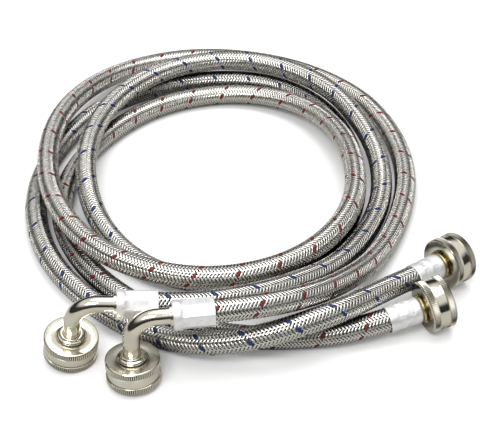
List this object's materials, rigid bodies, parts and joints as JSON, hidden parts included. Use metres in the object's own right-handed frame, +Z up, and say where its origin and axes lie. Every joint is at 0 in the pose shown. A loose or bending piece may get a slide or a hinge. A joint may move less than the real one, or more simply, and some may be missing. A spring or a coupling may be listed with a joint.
{
  "type": "braided supply line",
  "caption": "Steel-braided washing machine supply hoses in a loose coil, with elbow and straight swivel nuts.",
  "frame": {"origin": "on the surface that the coil lies on, under the middle of the box round the end fittings, hoses left out", "axes": "+Z up, +X from the elbows towards the straight ends, +Y towards the back of the coil"},
  "size_m": [0.3015, 0.3843, 0.0544],
  "materials": {
    "hot_braid": "woven stainless wire with a red tracer",
    "cold_braid": "woven stainless wire with a blue tracer",
    "rubber_liner": "matt black rubber",
    "crimp_sleeve": "bright crimped sleeve",
    "nickel_plate": "polished nickel plate",
    "brass": "machined brass",
    "rubber_washer": "black rubber"
  },
  "bodies": {
    "hoses": {"hot_braid": "hot_braid", "hot_inner_tube": "rubber_liner", "hot_elbow_ferrule": "crimp_sleeve", "hot_elbow_tube": "nickel_plate", "hot_elbow_tailpiece": "nickel_plate", "hot_straight_ferrule": "crimp_sleeve", "hot_straight_stem": "brass", "cold_braid": "cold_braid", "cold_inner_tube": "rubber_liner", "cold_elbow_ferrule": "crimp_sleeve", "cold_elbow_tube": "nickel_plate", "cold_elbow_tailpiece": "nickel_plate", "cold_straight_ferrule": "crimp_sleeve", "cold_straight_stem": "brass"},
    "hot_elbow_washer_float": {"hot_elbow_washer": "rubber_washer"},
    "hot_elbow_nut_swivel": {"hot_elbow_nut": "nickel_plate"},
    "hot_straight_washer_float": {"hot_straight_washer": "rubber_washer"},
    "hot_straight_nut_swivel": {"hot_straight_nut": "nickel_plate"},
    "cold_elbow_washer_float": {"cold_elbow_washer": "rubber_washer"},
    "cold_elbow_nut_swivel": {"cold_elbow_nut": "nickel_plate"},
    "cold_straight_washer_float": {"cold_straight_washer": "rubber_washer"},
    "cold_straight_nut_swivel": {"cold_straight_nut": "nickel_plate"}
  },
  "joints": [
    {"name": "hot_elbow_nut_slide", "type": "slide", "parent": "hoses", "child": "hot_elbow_washer_float", "axis": [-0.0126, 0.0862, 0.9962], "range_m": [0, 0.0012]},
    {"name": "hot_elbow_nut_spin", "type": "hinge", "parent": "hot_elbow_washer_float", "child": "hot_elbow_nut_swivel", "pos_m": [-0.07977, -0.04544, 0.00934], "axis": [-0.0126, 0.0862, 0.9962], "continuous": true},
    {"name": "hot_straight_nut_slide", "type": "slide", "parent": "hoses", "child": "hot_straight_washer_float", "axis": [-0.9345, -0.3343, -0.1224], "range_m": [0, 0.0012]},
    {"name": "hot_straight_nut_spin", "type": "hinge", "parent": "hot_straight_washer_float", "child": "hot_straight_nut_swivel", "pos_m": [0.10331, 0.00225, 0.01743], "axis": [-0.9345, -0.3343, -0.1224], "continuous": true},
    {"name": "cold_elbow_nut_slide", "type": "slide", "parent": "hoses", "child": "cold_elbow_washer_float", "axis": [0.1283, -0.09, 0.9876], "range_m": [0, 0.0012]},
    {"name": "cold_elbow_nut_spin", "type": "hinge", "parent": "cold_elbow_washer_float", "child": "cold_elbow_nut_swivel", "pos_m": [-0.11875, -0.02637, 0.01036], "axis": [0.1283, -0.09, 0.9876], "continuous": true},
    {"name": "cold_straight_nut_slide", "type": "slide", "parent": "hoses", "child": "cold_straight_washer_float", "axis": [-0.8093, -0.5865, 0.0317], "range_m": [0, 0.0012]},
    {"name": "cold_straight_nut_spin", "type": "hinge", "parent": "cold_straight_washer_float", "child": "cold_straight_nut_swivel", "pos_m": [0.11829, 0.0451, 0.01687], "axis": [-0.8093, -0.5865, 0.0317], "continuous": true}
  ]
}
